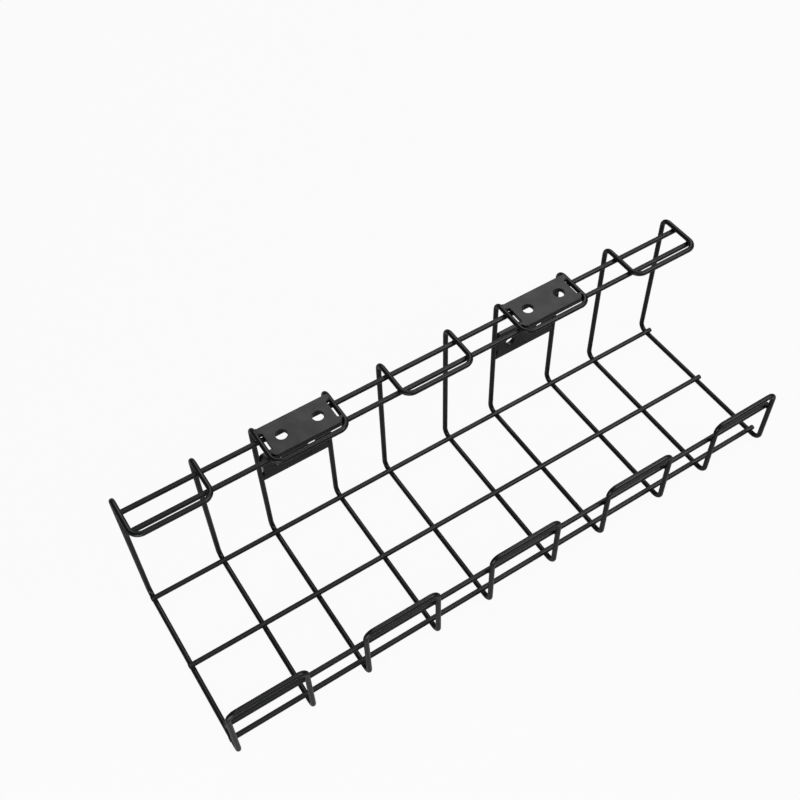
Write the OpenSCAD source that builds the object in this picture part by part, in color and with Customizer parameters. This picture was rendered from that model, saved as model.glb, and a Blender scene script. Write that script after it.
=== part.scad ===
// Welded wire cable tray for the underside of a desk or for a wall.
// Closed wires bent to a C profile (flange, wall, floor, lip) stand side by side and are tied
// by straight long wires on their inner side. Two of them carry a screw plate in the flange
// and one in the wall. X runs along the tray, Y from the lip to the wall, Z up.
// The origin lies under the middle of the tray, on the surface that it stands on.

/* [Tray] */
// Length of the tray, from tip to tip of the long wires
tray_length = 400; // [340:1:600]
// Depth over the wires, from the back of the wall to the front of the lip
tray_depth = 125.2; // [110:0.1:160]
// Height over the wires, from the bottom of the floor to the top of the flange
tray_height = 110.7; // [98:0.1:150]
// Depth of the flange over the wires, from the back of the wall
flange_depth = 34.4; // [34:0.1:45]
// Height of the lip over the wires, from the bottom of the floor
lip_height = 52.5; // [34:0.1:70]

/* [Wire] */
// Diameter of every wire with its coating
wire_d = 3.3; // [2.7:0.1:3.6]
// Bevel on the cut ends of the long wires
end_bevel = 0.5; // [0.2:0.05:0.8]

/* [Cross frames] */
// Width of one cross frame over its wires
frame_width = 52; // [46:0.5:56]
// How far the long wires stick out past the outer cross frames
wire_overhang = 0.4; // [0:0.1:5]
// Bend radius of the C profile, to the middle of the wire
fold_r = 5.6; // [4:0.1:6]
// Bend radius of the flange's front corners, to the middle of the wire
flange_corner_r = 6.5; // [5:0.1:7]
// Bend radius of the lip's top corners, to the middle of the wire
lip_corner_r = 5.2; // [4:0.1:8]

/* [Long wires] */
// Distance from the middle of the wall wire to the middle of the rear floor wire
floor_wire_inset = 7.8; // [6:0.1:20]
// Distance from the middle of the wall wire to the middle of the rear flange wire
flange_wire_inset = 10; // [9:0.1:14]
// Distance between the two flange wires
flange_wire_pitch = 14.3; // [10:0.1:16]
// Distance from the lip's top run down to the lip wire, middle to middle
lip_wire_drop = 15.5; // [6:0.1:20]

/* [Screw plates] */
// How much thinner the plates are than the wire, so that they clear the long wires behind them
plate_clearance = 0.3; // [0.1:0.1:1.2]
// Size of the plates along the wires that carry them
plate_depth = 22.8; // [20:0.1:23]
// Distance from the middle of the wall wire to the middle of the flange plates
flange_plate_inset = 15.8; // [14:0.1:16]
// Distance from the top of the tray down to the middle of the wall plates
wall_plate_drop = 44.6; // [30:0.1:60]
// Radius of a plate's two round corners, at the flange's front and at the wall plate's top
round_corner_r = 3; // [2.8:0.1:3.4]
// Radius of its two tight corners
tight_corner_r = 1; // [0.4:0.1:2]
// Width of the slots between a flange plate's body and the wires beside it
flange_slot_w = 1.6; // [1:0.1:4]
// Width of the slots between a wall plate's body and the wires beside it
wall_slot_w = 0.7; // [0.4:0.1:3]
// Length of the slots, between the welding ears
slot_length = 13.6; // [10:0.1:14]
// Diameter of the screw holes
hole_d = 7.2; // [5:0.1:9]
// Distance between the two screw holes of a plate
hole_spacing = 24; // [16:0.5:28]

/* [Hidden] */
$fn = 32;
HOLE_FN = 48;
ARC_STEPS = 6;

// Colours of the coated wires and of the coated plates
wire_colour = [0.10, 0.11, 0.11];
plate_colour = [0.19, 0.20, 0.22];

// Centre planes of the bent wires
wire_r = wire_d / 2;
wall_y = tray_depth / 2 - wire_r;
lip_y = -wall_y;
flange_front_y = tray_depth / 2 - flange_depth + wire_r;
floor_z = wire_r;
flange_z = tray_height - wire_r;
lip_z = lip_height - wire_r;

// The long wires lie against the inner side of the bent wires, one diameter further in
over_floor_z = floor_z + wire_d;
under_flange_z = flange_z - wire_d;
behind_lip_y = lip_y + wire_d;

// Cross frames, spaced evenly between the ends of the long wires; two of them hold the plates
frame_count = 5;
left_plate_frame = 2;
right_plate_frame = 4;
rib_spacing = frame_width - wire_d;
frames_span = tray_length - 2 * wire_overhang - frame_width;
frame_pitch = frames_span / (frame_count - 1);
function frame_x(number) = -frames_span / 2 + (number - 1) * frame_pitch;

// The plates fill the width between the two wires of their cross frame
plate_width = frame_width - 2 * wire_d;
plate_t = wire_d - plate_clearance;

// A length rounded to a thousandth of a millimetre
function snap(length) = round(length * 1000) / 1000;

// Unit vector from one point to another
function toward(a, b) = (b - a) / norm(b - a);

// Points of the arc that rounds the corner of an outline, from its neighbours and its radius
function corner_arc(before, corner, after, r) =
    r == 0 ? [corner] :
    let (
        u = toward(corner, before),
        v = toward(corner, after),
        half = acos(u * v) / 2,
        centre = corner + toward([0, 0], u + v) * r / sin(half),
        start = corner + u * r / tan(half) - centre,
        end = corner + v * r / tan(half) - centre,
        sweep = 180 - 2 * half
    )
    [for (i = [0 : ARC_STEPS])
        let (t = i / ARC_STEPS)
        centre + (start * sin((1 - t) * sweep) + end * sin(t * sweep)) / sin(sweep)];

// Closed outline with a radius at each of its corners; corners holds [x, y, radius]
function rounded_outline(corners) =
    let (n = len(corners), at = function(i) [corners[i % n].x, corners[i % n].y])
    [for (i = [0 : n - 1])
        each corner_arc(at(i + n - 1), at(i), at(i + 1), corners[i].z)];

// Straight piece of wire between two points
module wire_leg(a, b) {
    along = toward(a, b);
    side = abs(along.z) > 0.5 ? [1, 0, 0] : [0, 0, 1];
    up = cross(along, side);
    multmatrix([
        [side.x, up.x, along.x, a.x],
        [side.y, up.y, along.y, a.y],
        [side.z, up.z, along.z, a.z],
        [0, 0, 0, 1]
    ])
        cylinder(h = norm(b - a), d = wire_d);
}

// Quarter bend of a wire that reaches the corner in one direction and leaves it in another
module wire_bend(corner, arriving, leaving, r) {
    centre = corner + (leaving - arriving) * r;
    axis = cross(arriving, leaving);
    multmatrix([
        [-leaving.x, arriving.x, axis.x, centre.x],
        [-leaving.y, arriving.y, axis.y, centre.y],
        [-leaving.z, arriving.z, axis.z, centre.z],
        [0, 0, 0, 1]
    ])
        rotate_extrude(angle = 90)
            translate([r, 0])
                circle(d = wire_d);
}

// Closed wire; corners holds [x, y, z, bend radius], and each leg is parallel to an axis.
// Corners and radii are rounded so that legs and bends meet face to face, with no step between.
module closed_wire(corners) {
    n = len(corners);
    point = function(i) [for (k = [0 : 2]) snap(corners[i % n][k])];
    radius = function(i) snap(corners[i % n][3]);
    for (i = [0 : n - 1]) {
        arriving = toward(point(i + n - 1), point(i));
        leaving = toward(point(i), point(i + 1));
        wire_bend(point(i), arriving, leaving, radius(i));
        wire_leg(point(i) + leaving * radius(i), point(i + 1) - leaving * radius(i + 1));
    }
}

// One cross frame: two C-shaped ribs joined along the flange's front and the lip's top
module cross_frame(number) {
    left = frame_x(number) - rib_spacing / 2;
    right = frame_x(number) + rib_spacing / 2;
    rib = [
        [flange_front_y, flange_z, flange_corner_r],
        [wall_y, flange_z, fold_r],
        [wall_y, floor_z, fold_r],
        [lip_y, floor_z, fold_r],
        [lip_y, lip_z, lip_corner_r]
    ];
    last = len(rib) - 1;
    left_rib = [for (k = [0 : last]) concat(left, rib[k])];
    right_rib = [for (k = [last : -1 : 0]) concat(right, rib[k])];
    color(wire_colour)
        closed_wire(concat(left_rib, right_rib));
}

// Straight wire over the full length of the tray, with bevelled cut ends
module long_wire(y, z) {
    color(wire_colour)
        translate([-tray_length / 2, y, z])
            rotate([0, 90, 0])
                rotate_extrude()
                    polygon([
                        [0, 0],
                        [wire_r - end_bevel, 0],
                        [wire_r, end_bevel],
                        [wire_r, tray_length - end_bevel],
                        [wire_r - end_bevel, tray_length],
                        [0, tray_length]
                    ]);
}

// Outline of a screw plate: a body with four ears that reach the wires on either side.
// A slot's inner corners are rounded by half its width.
function plate_outline(slot_w) =
    let (
        x = plate_width / 2,
        y = plate_depth / 2,
        bx = x - slot_w,
        sy = slot_length / 2,
        slot_r = slot_w / 2
    )
    rounded_outline([
        [-x, -y, round_corner_r], [x, -y, round_corner_r],
        [x, -sy, 0], [bx, -sy, slot_r], [bx, sy, slot_r], [x, sy, 0],
        [x, y, tight_corner_r], [-x, y, tight_corner_r],
        [-x, sy, 0], [-bx, sy, slot_r], [-bx, -sy, slot_r], [-x, -sy, 0]
    ]);

// Screw plate lying flat, its outer face at z = 0 and its thickness below
module screw_plate(slot_w) {
    translate([0, 0, -plate_t])
        difference() {
            linear_extrude(height = plate_t)
                polygon(plate_outline(slot_w));
            for (side = [-1, 1])
                translate([side * hole_spacing / 2, 0, -1])
                    cylinder(h = plate_t + 2, d = hole_d, $fn = HOLE_FN);
        }
}

// Screw plate in the flange, flush with the top of the wires
module flange_plate(number) {
    color(plate_colour)
        translate([frame_x(number), wall_y - flange_plate_inset, tray_height])
            screw_plate(flange_slot_w);
}

// Screw plate in the wall, flush with the back of the wires
module wall_plate(number) {
    color(plate_colour)
        translate([frame_x(number), tray_depth / 2, tray_height - wall_plate_drop])
            rotate([-90, 0, 0])
                screw_plate(wall_slot_w);
}

cross_frame(1);  // cross_frame_1
cross_frame(2);  // cross_frame_2
cross_frame(3);  // cross_frame_3
cross_frame(4);  // cross_frame_4
cross_frame(5);  // cross_frame_5
long_wire(wall_y - flange_wire_inset, under_flange_z);  // flange_wire_rear
long_wire(wall_y - flange_wire_inset - flange_wire_pitch, under_flange_z);  // flange_wire_front
long_wire(wall_y - floor_wire_inset, over_floor_z);  // floor_wire_rear
long_wire(0, over_floor_z);  // floor_wire_middle
long_wire(lip_y + floor_wire_inset, over_floor_z);  // floor_wire_front
long_wire(behind_lip_y, lip_z - lip_wire_drop);  // lip_wire
flange_plate(left_plate_frame);  // flange_plate_left
flange_plate(right_plate_frame);  // flange_plate_right
wall_plate(left_plate_frame);  // wall_plate_left
wall_plate(right_plate_frame);  // wall_plate_right
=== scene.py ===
"""Looks of a welded wire cable tray: coated bent wires, coated screw plates, welds and a studio."""

import math

import bmesh
import bpy
import numpy as np
from bpy.props import (
    FloatProperty, FloatVectorProperty, IntProperty, PointerProperty, StringProperty,
)
from mathutils import Matrix


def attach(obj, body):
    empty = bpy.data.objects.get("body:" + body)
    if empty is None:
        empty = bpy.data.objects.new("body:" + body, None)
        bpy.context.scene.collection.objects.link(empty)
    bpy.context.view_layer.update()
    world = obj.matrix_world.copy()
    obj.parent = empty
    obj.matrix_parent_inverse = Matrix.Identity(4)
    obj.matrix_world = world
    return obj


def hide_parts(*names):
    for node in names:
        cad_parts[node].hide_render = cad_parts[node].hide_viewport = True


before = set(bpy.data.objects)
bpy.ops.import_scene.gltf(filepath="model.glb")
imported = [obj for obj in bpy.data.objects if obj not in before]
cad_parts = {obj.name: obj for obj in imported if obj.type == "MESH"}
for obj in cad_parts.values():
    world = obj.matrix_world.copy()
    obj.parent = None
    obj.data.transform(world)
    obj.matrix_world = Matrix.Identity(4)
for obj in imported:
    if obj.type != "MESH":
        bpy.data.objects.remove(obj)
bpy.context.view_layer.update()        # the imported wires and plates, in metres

bl_info = {
    "name": "Wire Cable Tray",
    "version": (1, 0, 0),
    "blender": (4, 5, 0),
    "location": "3D View > Sidebar > Cable Tray",
    "description": "Dresses a welded wire cable tray: bent wires, long wires, plates and welds",
    "category": "Object",
}

MM = 0.001
BODY = "root"
# Rounds in which the swell at a weld settles
SWELL_STEPS = 6
# How finely the rounded shapes are cut up
END_RINGS = 7
ROUNDING_SEGMENTS = 4
WELD_CURVE_POINTS = 9
WELD_RINGS = 21
# A wire crosses a leg where their middle lines pass within this many radii of each other
CROSSING_REACH = 3
# Edges that turn by less than the first angle are flat, by more than the second are rounded
FLAT_ANGLE = math.radians(0.5)
SHARP_ANGLE = math.radians(40)
WIRE_SLOT = "coated_wire"
PLATE_SLOT = "coated_plate"
FRAMES = [f"cross_frame_{number}" for number in range(1, 6)]
FLANGE_WIRES = ["flange_wire_rear", "flange_wire_front"]
FLOOR_WIRES = ["floor_wire_rear", "floor_wire_middle", "floor_wire_front"]
LIP_WIRES = ["lip_wire"]
FLANGE_PLATES = ["flange_plate_left", "flange_plate_right"]
WALL_PLATES = ["wall_plate_left", "wall_plate_right"]
TRAY_MIDDLE = (0, 0, 0.05)
# Place, target, width and height in metres, and watts of each soft lamp
LAMPS = {
    "back_right": ((0.85, 1.2, 1.7), TRAY_MIDDLE, (1.4, 1.2), 17),
    "front_right": ((0.95, -0.95, 1.49), TRAY_MIDDLE, (1.0, 1.0), 21),
    "front": ((0.0, -1.34, 1.49), TRAY_MIDDLE, (1.0, 1.0), 6),
    "above": ((0.1, -0.18, 1.96), TRAY_MIDDLE, (1.0, 1.0), 3.5),
    "back": ((0.0, 1.34, 1.49), TRAY_MIDDLE, (1.0, 1.0), 2),
    "front_corner": ((-0.42, -0.30, 0.10), (-0.15, -0.06, 0.03), (0.3, 0.2), 1.5),
}


# ---------------------------------------------------------------- sizes read from the frame

def node_points(name):
    """All corner points of a CAD node, as rows of x, y, z in metres."""
    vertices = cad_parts[name].data.vertices
    flat = np.empty(len(vertices) * 3, np.float32)
    vertices.foreach_get("co", flat)
    return flat.reshape(-1, 3).astype(float)


def node_box(name):
    """Lowest and highest corner of a CAD node."""
    points = node_points(name)
    return points.min(0), points.max(0)


def wire_radius():
    low, high = node_box(LIP_WIRES[0])
    return (high[2] - low[2]) / 2


def wire_axis(name):
    """Y and Z of a long wire's middle line."""
    low, high = node_box(name)
    return (low[1] + high[1]) / 2, (low[2] + high[2]) / 2


def frame_planes(name):
    """Middle planes of a cross frame's wire: its two ribs, wall, lip, floor, flange and runs."""
    points = node_points(name)
    low, high = points.min(0), points.max(0)
    r = wire_radius()
    on_flange = points[:, 2] > high[2] - r
    on_lip = points[:, 1] < low[1] + r
    return {
        "left": low[0] + r,
        "right": high[0] - r,
        "wall": high[1] - r,
        "lip": low[1] + r,
        "floor": low[2] + r,
        "flange": high[2] - r,
        "flange_front": points[on_flange, 1].min() + r,
        "lip_top": points[on_lip, 2].max() - r,
    }


def rib_places():
    """X of every rib, from left to right."""
    planes = [frame_planes(name) for name in FRAMES]
    return [plane[side] for plane in planes for side in ("left", "right")]


# ---------------------------------------------------------------- meshes

def mesh_object(name, points, faces):
    """Smooth-shaded object at the origin, made of an array of points and a list of faces."""
    mesh = bpy.data.meshes.new(name)
    mesh.from_pydata(points.tolist(), [], faces)
    mesh.polygons.foreach_set("use_smooth", np.ones(len(mesh.polygons), bool))
    mesh.update()
    piece = bpy.data.objects.new(name, mesh)
    bpy.context.scene.collection.objects.link(piece)
    return piece


def tube_faces(rows, columns, closing_turn=None):
    """Quads of a grid that is closed round its columns, and along its rows where a turn is given.

    The turn says how many columns the last ring is turned against the first.
    """
    row, column = np.meshgrid(np.arange(rows - 1), np.arange(columns), indexing="ij")
    beside = (column + 1) % columns
    here = row * columns
    quads = np.stack([here + column, here + beside, here + columns + beside,
                      here + columns + column], -1)
    quads = quads.reshape(-1, 4)
    if closing_turn is not None:
        column = np.arange(columns)
        beside = (column + 1) % columns
        last = (rows - 1) * columns
        seam = np.stack([last + column, last + beside, (beside + closing_turn) % columns,
                         (column + closing_turn) % columns], -1)
        quads = np.concatenate([quads, seam])
    return quads.tolist()


def dress(piece, material, slot, *nodes):
    """Gives a piece its finish, lets it ride on the tray and puts it in place of CAD nodes."""
    piece.data.materials.clear()
    piece.data.materials.append(material)
    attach(piece, BODY)
    if nodes:
        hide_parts(*nodes)


# ---------------------------------------------------------------- wires

def stations(length, crossings, coarse, fine, reach):
    """Distances along a leg where it gets a ring: evenly spaced, and denser round each crossing."""
    even = np.arange(coarse, length - coarse / 2, coarse)
    near = [place + np.arange(-reach, reach + fine / 2, fine) for place in crossings]
    steps = np.unique(np.round(np.concatenate([even, *near]) / fine).astype(int)) * fine
    return steps[(steps > fine) & (steps < length - fine)]


def swell(points, outward, others, radius, blend):
    """Draws a wire's surface towards the wires that cross it, as fused metal and coat do.

    With m the distance from the surface to the other wire less what the surface has moved, each
    point moves outward by (blend - m)^2 / (4 blend) where m is under blend. That is the smooth
    minimum of the two distances. others holds one function per crossing wire that gives the
    distance of points from its middle line.
    """
    moved = np.zeros(len(points))
    for distance in others:
        away = distance(points) - radius
        shift = np.zeros(len(points))
        for _ in range(SWELL_STEPS):
            left = np.clip(away - shift, 0, blend)
            shift = (blend - left) ** 2 / (4 * blend)
        moved = np.maximum(moved, shift)
    return points + outward * moved[:, None]


def closed_wire_rings(corners, crossings, settings):
    """Middle line of a closed bent wire, with a frame across it at each ring.

    corners holds [x, y, z, bend radius]. A leg is a straight line. A bend turns the way in, a,
    into the way out, b, at middle + r (a sin t - b cos t) with t from 0 to 90 degrees, and turns
    the frame across the wire by the same t. Returns places, first and second vector, and the
    number of columns that the frame has turned when the loop closes.
    """
    count = len(corners)
    spots = np.array([corner[:3] for corner in corners])
    radii = [corner[3] for corner in corners]
    turn = np.linspace(0, math.pi / 2, settings.bend_rings)[:, None]
    way_in = (spots[0] - spots[-1]) / np.linalg.norm(spots[0] - spots[-1])
    way_out = (spots[1] - spots[0]) / np.linalg.norm(spots[1] - spots[0])
    first = way_out.copy()
    start = first
    second = np.cross(way_in, first)
    start_second = second
    places, firsts, seconds = [], [], []
    for i in range(count):
        spot, following, r = spots[i], spots[(i + 1) % count], radii[i]
        a = spot - spots[i - 1]
        a = a / np.linalg.norm(a)
        b = following - spot
        b = b / np.linalg.norm(b)
        k = np.cross(a, b)
        places.append(spot + (b - a) * r + r * (np.sin(turn) * a - np.cos(turn) * b))
        turned = []
        for vector in (first, second):
            forward = (vector @ a) * (np.cos(turn) * a + np.sin(turn) * b)
            sideways = (vector @ b) * (np.cos(turn) * b - np.sin(turn) * a)
            turned.append(forward + sideways + (vector @ k) * k)
        firsts.append(turned[0])
        seconds.append(turned[1])
        first, second = turned[0][-1], turned[1][-1]
        begin = spot + b * r
        length = np.linalg.norm(following - begin) - radii[(i + 1) % count]
        along = stations(length, crossings(begin, b, length), settings.leg_step,
                         settings.weld_step, settings.weld_reach)
        places.append(begin + along[:, None] * b)
        firsts.append(np.repeat(first[None], len(along), 0))
        seconds.append(np.repeat(second[None], len(along), 0))
    angle = math.atan2(first @ start_second, first @ start)
    closing_turn = round(angle / (2 * math.pi) * settings.sides)
    return np.concatenate(places), np.concatenate(firsts), np.concatenate(seconds), closing_turn


def ring_points(places, firsts, seconds, radii, sides):
    """Points place + r (first cos t + second sin t) round each place, and their outward vectors."""
    t = np.arange(sides) / sides * 2 * math.pi
    outward = firsts[:, None] * np.cos(t)[:, None] + seconds[:, None] * np.sin(t)[:, None]
    points = places[:, None] + outward * np.reshape(radii, (-1, 1, 1))
    return points.reshape(-1, 3), outward.reshape(-1, 3)


def build_cross_frame(name, settings):
    """Bent closed wire of one cross frame, swollen where the long wires are welded to it."""
    r = wire_radius()
    p = frame_planes(name)
    fold = settings.fold_radius
    rib = [
        (p["flange_front"], p["flange"], settings.flange_corner_radius),
        (p["wall"], p["flange"], fold),
        (p["wall"], p["floor"], fold),
        (p["lip"], p["floor"], fold),
        (p["lip"], p["lip_top"], settings.lip_corner_radius),
    ]
    corners = [(p["left"], *point) for point in rib] + [(p["right"], *point) for point in rib[::-1]]
    axes = [wire_axis(wire) for wire in FLANGE_WIRES + FLOOR_WIRES + LIP_WIRES]

    def crossings(begin, along, length):
        found = []
        for y, z in axes:
            offset = np.array([0, y - begin[1], z - begin[2]])
            place = offset @ along
            gap = np.linalg.norm(offset - place * along)
            if abs(along[0]) < 0.5 and 0 < place < length and gap < CROSSING_REACH * r:
                found.append(place)
        return found

    places, firsts, seconds, closing_turn = closed_wire_rings(corners, crossings, settings)
    points, outward = ring_points(places, firsts, seconds, np.full(len(places), r), settings.sides)
    others = [lambda q, y=y, z=z: np.hypot(q[:, 1] - y, q[:, 2] - z) for y, z in axes]
    points = swell(points, outward, others, r, settings.weld_blend)
    faces = tube_faces(len(places), settings.sides, closing_turn)
    return mesh_object(name + "_wire", points, faces)


def build_long_wire(name, settings):
    """Straight wire with rounded ends, swollen at each rib that it is welded to.

    Near an end the radius follows a quarter round, r - e (1 - cos t) at e (1 - sin t) from it.
    """
    r = wire_radius()
    low, high = node_box(name)
    y, z = wire_axis(name)
    planes = frame_planes(FRAMES[0])
    ribs = rib_places()
    length = high[0] - low[0]
    inner = stations(length, [x - low[0] for x in ribs], settings.leg_step, settings.weld_step,
                     settings.weld_reach)
    e = settings.end_round
    inner = inner[(inner > e) & (inner < length - e)]
    t = np.linspace(math.pi / 2, 0, END_RINGS)
    rim = e * (1 - np.sin(t))
    rim_radii = r - e * (1 - np.cos(t))
    along = np.concatenate([rim, inner, length - rim[::-1]])
    radii = np.concatenate([rim_radii, np.full(len(inner), r), rim_radii[::-1]])
    places = np.stack([low[0] + along, np.full(len(along), y), np.full(len(along), z)], -1)
    firsts = np.repeat([[0.0, 1.0, 0.0]], len(along), 0)
    seconds = np.repeat([[0.0, 0.0, 1.0]], len(along), 0)
    points, outward = ring_points(places, firsts, seconds, radii, settings.sides)
    if name in LIP_WIRES:
        others = [lambda q, x=x: np.hypot(q[:, 0] - x, q[:, 1] - planes["lip"]) for x in ribs]
    else:
        level = planes["flange"] if name in FLANGE_WIRES else planes["floor"]
        others = [lambda q, x=x: np.hypot(q[:, 0] - x, q[:, 2] - level) for x in ribs]
    points = swell(points, outward, others, r, settings.weld_blend)
    faces = tube_faces(len(along), settings.sides)
    columns = list(range(settings.sides))
    faces.append(columns[::-1])
    faces.append([(len(along) - 1) * settings.sides + column for column in columns])
    return mesh_object(name + "_rod", points, faces)


# ---------------------------------------------------------------- plates

def build_plate(name, settings):
    """The stamped plate with its edges rounded by the coat."""
    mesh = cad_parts[name].data.copy()
    mesh.name = name + "_stamped"
    bm = bmesh.new()
    bm.from_mesh(mesh)
    bmesh.ops.remove_doubles(bm, verts=bm.verts, dist=0.001 * MM)
    bmesh.ops.dissolve_limit(bm, angle_limit=FLAT_ANGLE, verts=bm.verts, edges=bm.edges)
    for face in bm.faces:
        face.smooth = True
    bm.to_mesh(mesh)
    bm.free()
    piece = bpy.data.objects.new(name + "_stamped", mesh)
    bpy.context.scene.collection.objects.link(piece)
    bevel = piece.modifiers.new("coat_rounding", "BEVEL")
    bevel.width = settings.edge_round
    bevel.segments = ROUNDING_SEGMENTS
    bevel.limit_method = "ANGLE"
    bevel.angle_limit = SHARP_ANGLE
    shading = piece.modifiers.new("flat_faces", "WEIGHTED_NORMAL")
    shading.mode = "FACE_AREA"
    shading.weight = 100
    return piece


def curve_between(a, way_a, b, way_b, count):
    """Cubic curve from a to b that leaves and arrives in the given directions.

    It is a (1 - t)^3 + 3 p t (1 - t)^2 + 3 q t^2 (1 - t) + b t^3, with the handles p and q a third
    of the distance away from a and b.
    """
    reach = np.linalg.norm(b - a) / 3
    p, q = a + way_a * reach, b - way_b * reach
    t = np.linspace(0, 1, count)[:, None]
    return a * (1 - t) ** 3 + b * t ** 3 + 3 * p * t * (1 - t) ** 2 + 3 * q * t ** 2 * (1 - t)


def ear_weld_section(r, thickness, settings):
    """Outline of the weld between a wire and a plate's ear, as u away from the wire and w up.

    Its upper and lower sides are hollow curves from the wire's round side to the plate's faces,
    tangent to both. The rest of the outline lies inside the wire and inside the plate.
    """
    upper, lower = math.radians(settings.weld_upper_angle), math.radians(settings.weld_lower_angle)
    top = curve_between(
        r * np.array([math.sin(upper), math.cos(upper)]),
        np.array([math.cos(upper), -math.sin(upper)]),
        np.array([r + settings.edge_round, r]), np.array([1.0, 0.0]), WELD_CURVE_POINTS)
    under = r - thickness
    bottom = curve_between(
        r * np.array([math.sin(lower), math.cos(lower)]),
        np.array([-math.cos(lower), math.sin(lower)]),
        np.array([r + 1.5 * settings.edge_round, under]), np.array([1.0, 0.0]),
        WELD_CURVE_POINTS)
    depth = r + 2 * settings.edge_round
    inside = np.array([[depth, 0.7 * r], [depth, 0.7 * under]])
    core = np.array([[0.4 * r, -0.4 * r], [0.4 * r, 0.4 * r]])
    return np.concatenate([top, inside, bottom[::-1], core])


def build_ear_welds(name, settings):
    """Welds between a plate's ears and the two wires beside it.

    Each weld is the section carried along the wire, scaled towards the touching line by
    (1 - v^4)^(1/4), with v from -1 to 1 along the ear.
    """
    low, high = node_box(name)
    r = wire_radius()
    flat = name in FLANGE_PLATES
    across, along, out = (0, 1, 2) if flat else (0, 2, 1)
    # The round corners are at the flange plate's front and at the wall plate's top
    round_end = -1 if flat else 1
    middle = (low + high) / 2
    half = (high - low) / 2
    section = ear_weld_section(r, 2 * half[out], settings)
    anchor = np.array([r, r - half[out]])
    v = np.linspace(-1, 1, WELD_RINGS)
    # Slightly over 1, so that the end rings keep a tenth of their width
    scale = (1.0001 - v ** 4) ** 0.25
    shape = anchor + (section - anchor) * scale[:, None, None]
    points, faces = [], []
    count = len(section)
    for side in (-1, 1):
        for end in (-1, 1):
            start = settings.slot_length / 2 - settings.weld_overrun
            stop = settings.weld_round_end if end == round_end else settings.weld_tight_end
            along_ear = end * ((start + stop) / 2 + v * (stop - start) / 2)
            grid = np.empty((len(v), count, 3))
            grid[..., across] = middle[across] + side * (half[across] + r - shape[..., 0])
            grid[..., along] = middle[along] + along_ear[:, None]
            grid[..., out] = high[out] - r + shape[..., 1]
            base = sum(len(p) for p in points)
            quads = np.array(tube_faces(len(v), count)) + base
            ends = [list(range(base, base + count))[::-1],
                    list(range(base + (len(v) - 1) * count, base + len(v) * count))]
            points.append(grid.reshape(-1, 3))
            faces += quads.tolist() + ends
    piece = mesh_object(name + "_ear_welds", np.concatenate(points), faces)
    bm = bmesh.new()
    bm.from_mesh(piece.data)
    bmesh.ops.recalc_face_normals(bm, faces=bm.faces)
    bm.to_mesh(piece.data)
    bm.free()
    return piece


# ---------------------------------------------------------------- materials

def linear(hex_colour):
    """Linear colour with alpha 1 from an sRGB hex value such as 1a1b1c."""
    channels = [int(hex_colour[i:i + 2], 16) / 255 for i in (0, 2, 4)]
    return [c / 12.92 if c <= 0.04045 else ((c + 0.055) / 1.055) ** 2.4 for c in channels] + [1.0]


def add_node(tree, kind, settings=None, values=None, links=None):
    """Adds one node, sets its properties and inputs, and links inputs to other nodes' outputs."""
    node = tree.nodes.new(kind)
    for key, value in (settings or {}).items():
        setattr(node, key, value)
    for key, value in (values or {}).items():
        node.inputs[key].default_value = value
    for key, output in (links or {}).items():
        tree.links.new(output, node.inputs[key])
    return node


def powder_coat(name, settings):
    """Black satin polyester powder coat, baked on degreased steel.

    It is a plastic film and not a metal, so it has a plastic's reflection. Melted powder levels
    out but for a fine orange peel, and its gloss drifts a little where the film is thicker.
    """
    material = bpy.data.materials.new(name)
    material.use_nodes = True
    tree = material.node_tree
    tree.nodes.clear()
    place = add_node(tree, "ShaderNodeTexCoord").outputs["Object"]
    # Slow drift of the film's thickness, over about 9 mm
    drift = add_node(
        tree, "ShaderNodeTexNoise", values={"Scale": 1 / (9 * MM), "Detail": 3.0},
        links={"Vector": place})
    # Orange peel. Its real waves are about 0.5 mm apart and a few thousandths of a mm deep.
    peel = add_node(
        tree, "ShaderNodeTexNoise",
        values={"Scale": 1 / settings.peel_size, "Detail": 2.0, "Roughness": 0.4},
        links={"Vector": place})
    # Grains of powder that did not flow out, about 0.15 mm wide
    grains = add_node(
        tree, "ShaderNodeTexVoronoi", {"feature": "F1"}, {"Scale": 1 / (0.3 * MM)},
        {"Vector": place})
    shade = add_node(
        tree, "ShaderNodeMix", {"data_type": "RGBA"},
        {"A": linear(settings.colour), "B": linear(settings.thick_colour)},
        {"Factor": drift.outputs["Fac"]})
    gloss = add_node(
        tree, "ShaderNodeMapRange",
        values={"From Min": 0.3, "From Max": 0.7, "To Min": settings.roughness - 0.05,
                "To Max": settings.roughness + 0.05},
        links={"Value": drift.outputs["Fac"]})
    waves = add_node(
        tree, "ShaderNodeBump",
        values={"Strength": settings.peel_strength, "Distance": 0.02 * MM},
        links={"Height": peel.outputs["Fac"]})
    relief = add_node(
        tree, "ShaderNodeBump", {"invert": True},
        {"Strength": settings.peel_strength, "Distance": 0.01 * MM},
        {"Height": grains.outputs["Distance"], "Normal": waves.outputs["Normal"]})
    film = add_node(
        tree, "ShaderNodeBsdfPrincipled",
        values={"Metallic": 0.0, "IOR": 1.5, "Specular IOR Level": settings.specular},
        links={"Base Color": shade.outputs[2], "Roughness": gloss.outputs["Result"],
               "Normal": relief.outputs["Normal"]})
    add_node(tree, "ShaderNodeOutputMaterial", links={"Surface": film.outputs["BSDF"]})
    return material


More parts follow.
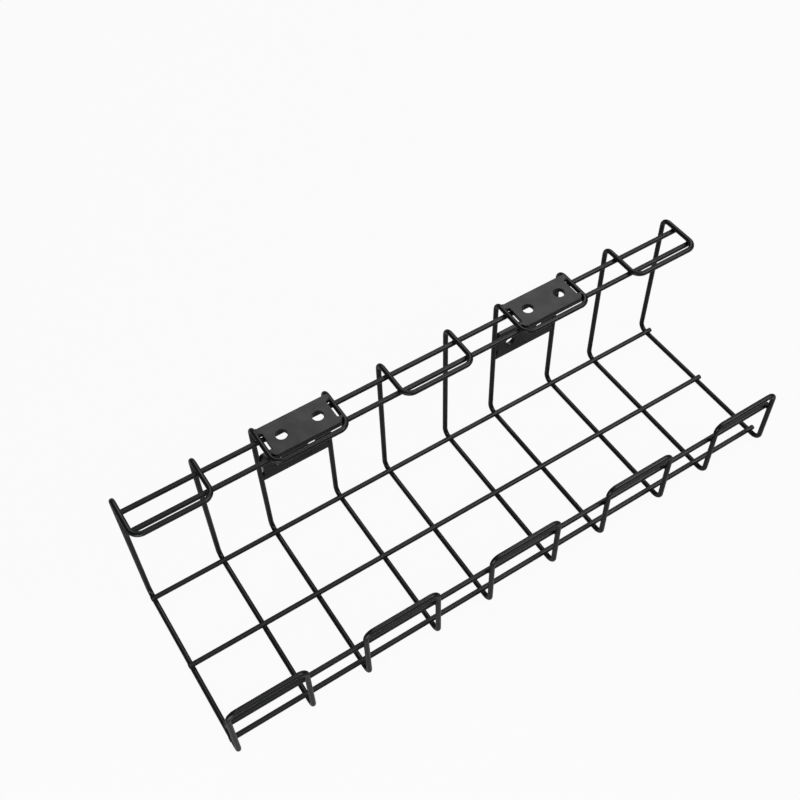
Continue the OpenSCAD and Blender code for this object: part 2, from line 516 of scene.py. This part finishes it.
def even_white(tree, direct, in_gloss):
    """Share of even white that a ray sees: one share directly and through glass, one in gloss."""
    path = add_node(tree, "ShaderNodeLightPath")
    clear = add_node(
        tree, "ShaderNodeMath", {"operation": "MAXIMUM"},
        links={0: path.outputs["Is Camera Ray"], 1: path.outputs["Is Transmission Ray"]})
    clear = add_node(
        tree, "ShaderNodeMath", {"operation": "MULTIPLY"}, {1: direct}, {0: clear.outputs[0]})
    mirrored = add_node(
        tree, "ShaderNodeMath", {"operation": "MULTIPLY"}, {1: in_gloss},
        {0: path.outputs["Is Glossy Ray"]})
    share = add_node(
        tree, "ShaderNodeMath", {"operation": "MAXIMUM"},
        links={0: clear.outputs[0], 1: mirrored.outputs[0]})
    return share.outputs[0]


def studio_paper(name, studio):
    """Matt paper that shows as nearly even white and keeps its shadow."""
    material = bpy.data.materials.new(name)
    material.use_nodes = True
    tree = material.node_tree
    tree.nodes.clear()
    share = even_white(tree, studio.white_share, studio.white_share_in_gloss)
    paper = add_node(
        tree, "ShaderNodeBsdfDiffuse", values={"Color": linear(studio.paper_colour)})
    white = add_node(tree, "ShaderNodeEmission", values={"Color": (1, 1, 1, 1), "Strength": 1.0})
    both = add_node(
        tree, "ShaderNodeMixShader", links={0: share, 1: paper.outputs[0], 2: white.outputs[0]})
    add_node(tree, "ShaderNodeOutputMaterial", links={"Surface": both.outputs[0]})
    return material


def studio_world(name, studio):
    """Dim grey surroundings that show as the same white as the floor."""
    world = bpy.data.worlds.new(name)
    world.use_nodes = True
    tree = world.node_tree
    tree.nodes.clear()
    share = even_white(tree, studio.world_white, studio.white_share_in_gloss)
    level = add_node(
        tree, "ShaderNodeMath", {"operation": "MAXIMUM"}, {1: studio.world_strength}, {0: share})
    air = add_node(
        tree, "ShaderNodeBackground", values={"Color": linear(studio.world_colour)},
        links={"Strength": level.outputs[0]})
    add_node(tree, "ShaderNodeOutputWorld", links={"Surface": air.outputs[0]})
    return world


# ---------------------------------------------------------------- settings

class TrayWireSettings(bpy.types.PropertyGroup):
    """Sizes of the bent and the straight wires."""

    fold_radius: FloatProperty(
        name="Fold Radius", description="Bend radius of the profile, to the wire's middle",
        default=5.6 * MM, min=3 * MM, max=8 * MM, unit="LENGTH", precision=5)
    flange_corner_radius: FloatProperty(
        name="Flange Corner", description="Bend radius of the flange's front corners",
        default=6.5 * MM, min=5 * MM, max=8 * MM, unit="LENGTH", precision=5)
    lip_corner_radius: FloatProperty(
        name="Lip Corner", description="Bend radius of the lip's top corners",
        default=5.2 * MM, min=4 * MM, max=8 * MM, unit="LENGTH", precision=5)
    end_round: FloatProperty(
        name="End Rounding", description="Rounding of the long wires' cut ends",
        default=0.5 * MM, min=0.1 * MM, max=1.4 * MM, unit="LENGTH", precision=5)
    weld_blend: FloatProperty(
        name="Weld Blend", description="Distance over which crossing wires flow together",
        default=1.3 * MM, min=0.2 * MM, max=2.5 * MM, unit="LENGTH", precision=5)
    weld_step: FloatProperty(
        name="Weld Ring Step", description="Distance between rings beside a weld",
        default=0.2 * MM, min=0.1 * MM, max=1 * MM, unit="LENGTH", precision=5)
    weld_reach: FloatProperty(
        name="Weld Reach", description="Length of wire on each side of a weld with close rings",
        default=3.2 * MM, min=1 * MM, max=6 * MM, unit="LENGTH", precision=5)
    leg_step: FloatProperty(
        name="Leg Ring Step", description="Distance between rings on plain straight wire",
        default=4 * MM, min=1 * MM, max=20 * MM, unit="LENGTH", precision=5)
    bend_rings: IntProperty(
        name="Bend Rings", description="Rings in each quarter bend", default=19, min=7, max=60)
    sides: IntProperty(
        name="Sides", description="Points round the wire, a multiple of four",
        default=32, min=12, max=64, step=4)


class TrayPlateSettings(bpy.types.PropertyGroup):
    """Sizes of the plates' rounding and of the welds at their ears."""

    edge_round: FloatProperty(
        name="Edge Rounding", description="Rounding of the coated plate edges",
        default=0.35 * MM, min=0.05 * MM, max=1.2 * MM, unit="LENGTH", precision=5)
    slot_length: FloatProperty(
        name="Slot Length", description="Length of the slots between the ears",
        default=13.6 * MM, min=8 * MM, max=16 * MM, unit="LENGTH", precision=5)
    weld_overrun: FloatProperty(
        name="Weld Overrun", description="How far an ear weld runs into the slot",
        default=0.3 * MM, min=0, max=1 * MM, unit="LENGTH", precision=5)
    weld_round_end: FloatProperty(
        name="Weld Round End",
        description="Where the weld ends beside a round corner, from the plate's middle",
        default=8.9 * MM, min=7 * MM, max=12 * MM, unit="LENGTH", precision=5)
    weld_tight_end: FloatProperty(
        name="Weld Tight End",
        description="Where the weld ends beside a tight corner, from the plate's middle",
        default=12.2 * MM, min=7 * MM, max=13 * MM, unit="LENGTH", precision=5)
    weld_upper_angle: FloatProperty(
        name="Upper Angle",
        description="Where the weld leaves the wire above, from the crest, in degrees",
        default=8, min=5, max=80)
    weld_lower_angle: FloatProperty(
        name="Lower Angle",
        description="Where the weld leaves the wire below, from the crest, in degrees",
        default=140, min=95, max=175)


class TrayCoatSettings(bpy.types.PropertyGroup):
    """Colour and surface of the powder coat."""

    colour: StringProperty(
        name="Colour", description="sRGB hex colour of the coat", default="0b0c0d")
    thick_colour: StringProperty(
        name="Thick Film Colour", description="sRGB hex colour where the film is thicker",
        default="101112")
    roughness: FloatProperty(
        name="Roughness", description="Roughness of the satin coat", default=0.32, min=0.1, max=0.9)
    specular: FloatProperty(
        name="Specular", description="Specular level of the coat", default=0.25, min=0, max=1)
    peel_size: FloatProperty(
        name="Peel Size", description="Distance between the waves of the orange peel",
        default=0.5 * MM, min=0.1 * MM, max=3 * MM, unit="LENGTH", precision=5)
    peel_strength: FloatProperty(
        name="Peel Strength", description="Strength of the orange peel's relief",
        default=0.2, min=0, max=1)


class TrayStudioSettings(bpy.types.PropertyGroup):
    """Floor, lamps and camera."""

    paper_colour: StringProperty(
        name="Paper", description="sRGB hex colour of the floor", default="a9a9a9")
    white_share: FloatProperty(
        name="Even White", description="Share of the floor that shows as even white",
        default=0.94, min=0, max=1)
    white_share_in_gloss: FloatProperty(
        name="Even White in Gloss", description="The same share in the coat's reflections",
        default=0.1, min=0, max=1)
    paper_size: FloatProperty(
        name="Floor Size", description="Side of the square floor", default=8.0, unit="LENGTH")
    world_colour: StringProperty(
        name="World", description="sRGB hex colour of the surroundings", default="ffffff")
    world_strength: FloatProperty(
        name="World Strength", description="Level of the surroundings",
        default=0.08, min=0, max=2)
    world_white: FloatProperty(
        name="World White", description="How white the surroundings show",
        default=0.96, min=0, max=1)
    camera_place: FloatVectorProperty(
        name="Camera", description="Place of the camera", subtype="XYZ", unit="LENGTH",
        default=(-0.2303, -0.3137, 0.6189), precision=4)
    camera_turn: FloatVectorProperty(
        name="Camera Turn", description="Rotation of the camera", subtype="EULER", unit="ROTATION",
        default=(math.radians(37.93), math.radians(1.588), math.radians(-32.493)))
    camera_lens: FloatProperty(
        name="Lens", description="Focal length on a 36 mm wide sensor, in millimetres",
        default=50.0)
    camera_shift: FloatVectorProperty(
        name="Camera Shift", description="Shift of the view, as a share of its width", size=2,
        default=(-0.000625, 0.000625), precision=6)


# ---------------------------------------------------------------- operators

def coat_on(part, context):
    """The coat on the wires or on the plates, made once each."""
    name = "black_powder_coat_on_" + part
    return bpy.data.materials.get(name) or powder_coat(name, context.scene.tray_coat)


class TRAY_OT_cross_frames(bpy.types.Operator):
    """Bend the closed wires of the cross frames"""

    bl_idname = "tray.cross_frames"
    bl_label = "Cross Frames"

    def execute(self, context):
        for name in FRAMES:
            piece = build_cross_frame(name, context.scene.tray_wires)
            dress(piece, coat_on("wire", context), WIRE_SLOT, name)
        return {"FINISHED"}


class TRAY_OT_long_wires(bpy.types.Operator):
    """Lay the straight long wires and weld them to the ribs"""

    bl_idname = "tray.long_wires"
    bl_label = "Long Wires"

    def execute(self, context):
        for name in FLANGE_WIRES + FLOOR_WIRES + LIP_WIRES:
            piece = build_long_wire(name, context.scene.tray_wires)
            dress(piece, coat_on("wire", context), WIRE_SLOT, name)
        return {"FINISHED"}


class TRAY_OT_screw_plates(bpy.types.Operator):
    """Round the edges of the stamped screw plates"""

    bl_idname = "tray.screw_plates"
    bl_label = "Screw Plates"

    def execute(self, context):
        for name in FLANGE_PLATES + WALL_PLATES:
            piece = build_plate(name, context.scene.tray_plates)
            dress(piece, coat_on("plate", context), PLATE_SLOT, name)
        return {"FINISHED"}


class TRAY_OT_ear_welds(bpy.types.Operator):
    """Weld the plates' ears to the wires beside them"""

    bl_idname = "tray.ear_welds"
    bl_label = "Ear Welds"

    def execute(self, context):
        for name in FLANGE_PLATES + WALL_PLATES:
            piece = build_ear_welds(name, context.scene.tray_plates)
            dress(piece, coat_on("plate", context), PLATE_SLOT)
        return {"FINISHED"}


def add_lamp(name, place, target, size, power):
    """Rectangular soft lamp at a place, turned to face a target."""
    data = bpy.data.lights.new(name, "AREA")
    data.shape = "RECTANGLE"
    data.size, data.size_y = size
    data.energy = power
    lamp = bpy.data.objects.new(name, data)
    lamp.visible_camera = False
    bpy.context.scene.collection.objects.link(lamp)
    place = np.array(place)
    back = place - np.array(target)
    back = back / np.linalg.norm(back)
    side = np.cross([0, 0, 1], back)
    side = side / np.linalg.norm(side) if np.linalg.norm(side) > 1e-6 else np.array([1.0, 0, 0])
    up = np.cross(back, side)
    matrix = np.eye(4)
    matrix[:3, 0], matrix[:3, 1], matrix[:3, 2], matrix[:3, 3] = side, up, back, place
    lamp.matrix_world = Matrix(matrix.tolist())
    return lamp


class TRAY_OT_studio(bpy.types.Operator):
    """Set up the floor, the lamps and the camera"""

    bl_idname = "tray.studio"
    bl_label = "Studio"

    def execute(self, context):
        studio = context.scene.tray_studio
        half = studio.paper_size / 2
        corners = np.array([[-half, -half, 0], [half, -half, 0], [half, half, 0], [-half, half, 0]])
        floor = mesh_object("floor", corners, [[0, 1, 2, 3]])
        floor.data.materials.append(studio_paper("white_paper", studio))

        context.scene.world = studio_world("studio", studio)

        for name, (place, target, size, power) in LAMPS.items():
            add_lamp(name, place, target, size, power)

        camera = bpy.data.objects.new("camera", bpy.data.cameras.new("camera"))
        camera.location = studio.camera_place
        camera.rotation_euler = studio.camera_turn
        camera.data.lens = studio.camera_lens
        camera.data.shift_x, camera.data.shift_y = studio.camera_shift
        camera.data.clip_start = 10 * MM
        context.scene.collection.objects.link(camera)
        context.scene.camera = camera
        context.scene.view_settings.view_transform = "Standard"
        return {"FINISHED"}


class TRAY_PT_panel(bpy.types.Panel):
    """Buttons and sizes of the wire cable tray"""

    bl_idname = "TRAY_PT_panel"
    bl_label = "Wire Cable Tray"
    bl_space_type = "VIEW_3D"
    bl_region_type = "UI"
    bl_category = "Cable Tray"

    def draw(self, context):
        scene = context.scene
        for settings, operators in (
            (scene.tray_wires, ("tray.cross_frames", "tray.long_wires")),
            (scene.tray_plates, ("tray.screw_plates", "tray.ear_welds")),
            (scene.tray_coat, ()),
            (scene.tray_studio, ("tray.studio",)),
        ):
            box = self.layout.box()
            for key in settings.__annotations__:
                box.prop(settings, key)
            for operator in operators:
                box.operator(operator)


SETTINGS = {
    "tray_wires": TrayWireSettings,
    "tray_plates": TrayPlateSettings,
    "tray_coat": TrayCoatSettings,
    "tray_studio": TrayStudioSettings,
}
OPERATORS = (
    TRAY_OT_cross_frames, TRAY_OT_long_wires, TRAY_OT_screw_plates, TRAY_OT_ear_welds,
    TRAY_OT_studio,
)


def register():
    for name, group in SETTINGS.items():
        bpy.utils.register_class(group)
        setattr(bpy.types.Scene, name, PointerProperty(type=group))
    for operator in OPERATORS:
        bpy.utils.register_class(operator)
    bpy.utils.register_class(TRAY_PT_panel)


def unregister():
    bpy.utils.unregister_class(TRAY_PT_panel)
    for operator in reversed(OPERATORS):
        bpy.utils.unregister_class(operator)
    for name, group in SETTINGS.items():
        delattr(bpy.types.Scene, name)
        bpy.utils.unregister_class(group)


def main():
    register()
    bpy.ops.tray.cross_frames()
    bpy.ops.tray.long_wires()
    bpy.ops.tray.screw_plates()
    bpy.ops.tray.ear_welds()
    bpy.ops.tray.studio()


if __name__ == "__main__":
    main()
